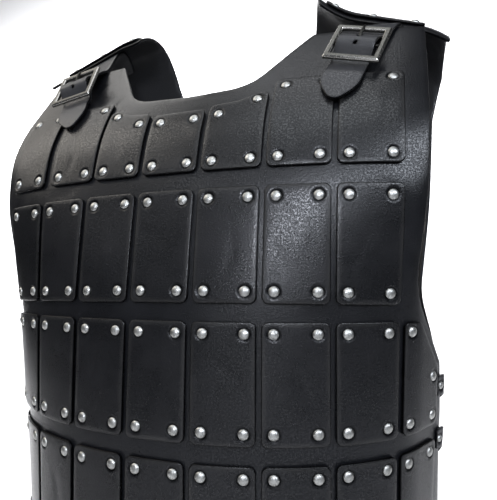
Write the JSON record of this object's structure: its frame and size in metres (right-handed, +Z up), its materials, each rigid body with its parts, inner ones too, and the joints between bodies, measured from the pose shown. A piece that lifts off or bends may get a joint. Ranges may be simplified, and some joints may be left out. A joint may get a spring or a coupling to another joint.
{
  "type": "studded leather body armour",
  "caption": "Sleeveless black leather body armour covered with riveted leather plates, with a buckled strap at each shoulder and straps over the open sides.",
  "frame": {"origin": "midway between the tops of the two shoulders, where the wearer's shoulders carry the armour, under the crest of the shoulder flaps", "axes": "+Z up, the wearer faces -Y, +X is the wearer's left"},
  "size_m": [0.5193, 0.2634, 0.617],
  "materials": {
    "black_leather": "black thick leather with a fine grain and a soft sheen",
    "black_plate_leather": "black grained leather, rubbed lighter along its edges; its rivets are nickel",
    "black_strap_leather": "black strap leather, fine grain",
    "antique_nickel": "worn antique nickel"
  },
  "bodies": {
    "root": {"front_panel": "black_leather", "back_panel": "black_leather", "front_plate_1_2": "black_plate_leather", "front_plate_1_3": "black_plate_leather", "front_plate_1_4": "black_plate_leather", "front_plate_1_5": "black_plate_leather", "front_plate_1_6": "black_plate_leather", "front_plate_1_7": "black_plate_leather", "front_plate_1_8": "black_plate_leather", "front_plate_2_2": "black_plate_leather", "front_plate_2_3": "black_plate_leather", "front_plate_2_4": "black_plate_leather", "front_plate_2_5": "black_plate_leather", "front_plate_2_6": "black_plate_leather", "front_plate_2_7": "black_plate_leather", "front_plate_2_8": "black_plate_leather", "front_plate_3_1": "black_plate_leather", "front_plate_3_2": "black_plate_leather", "front_plate_3_3": "black_plate_leather", "front_plate_3_4": "black_plate_leather", "front_plate_3_5": "black_plate_leather", "front_plate_3_6": "black_plate_leather", "front_plate_3_7": "black_plate_leather", "front_plate_3_8": "black_plate_leather", "front_plate_3_9": "black_plate_leather", "front_plate_4_1": "black_plate_leather", "front_plate_4_2": "black_plate_leather", "front_plate_4_3": "black_plate_leather", "front_plate_4_4": "black_plate_leather", "front_plate_4_5": "black_plate_leather", "front_plate_4_6": "black_plate_leather", "front_plate_4_7": "black_plate_leather", "front_plate_4_8": "black_plate_leather", "front_plate_4_9": "black_plate_leather", "shoulder_plate_right": "black_plate_leather", "shoulder_plate_left": "black_plate_leather", "shoulder_strap_right": "black_strap_leather", "shoulder_strap_left": "black_strap_leather", "shoulder_chape_right": "black_strap_leather", "shoulder_chape_left": "black_strap_leather", "side_strap_right_upper": "black_strap_leather", "side_strap_right_lower": "black_strap_leather", "side_strap_left_upper": "black_strap_leather", "side_strap_left_lower": "black_strap_leather", "shoulder_buckle_right": "antique_nickel", "shoulder_buckle_left": "antique_nickel"}
  },
  "joints": []
}
